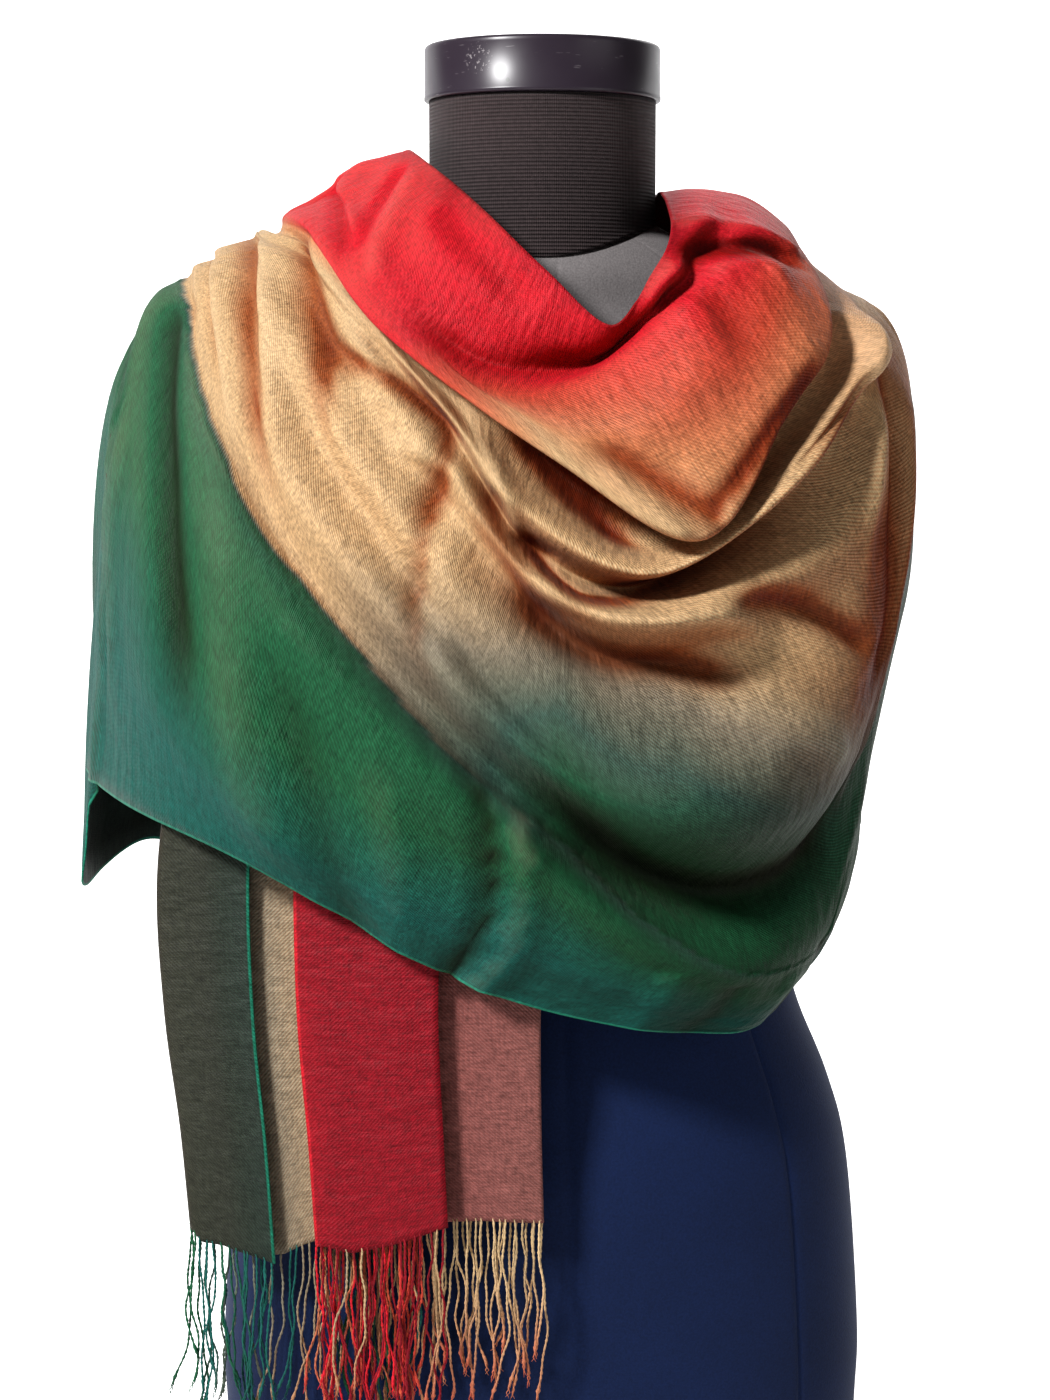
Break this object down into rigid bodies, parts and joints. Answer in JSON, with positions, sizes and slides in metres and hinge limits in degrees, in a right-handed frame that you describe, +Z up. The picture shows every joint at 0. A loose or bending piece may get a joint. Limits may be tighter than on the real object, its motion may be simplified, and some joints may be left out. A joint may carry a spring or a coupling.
{
  "type": "draped scarf on a limbless dress form",
  "caption": "Wide fringed scarf wound once round a limbless tabletop dress form, with cowl folds in front and one end hanging.",
  "frame": {"origin": "middle of the dress form's flat base, on the surface it stands on", "axes": "+Z up along the form, -Y towards the front, +X to the right of the front view"},
  "size_m": [0.4473, 0.3327, 0.817],
  "materials": {
    "cloth": "matte",
    "fringe": "matte",
    "cap": "satin",
    "knit": "matte",
    "chest_cloth": "matte",
    "body_cloth": "matte"
  },
  "bodies": {
    "root": {"front_stretch": "cloth", "back_stretch": "cloth", "hanging_end": "cloth", "tail": "cloth", "tail_fringe": "fringe", "end_fringe": "fringe", "form_cap": "cap", "form_neck": "knit", "form_chest": "chest_cloth", "form_body": "body_cloth"}
  },
  "joints": []
}
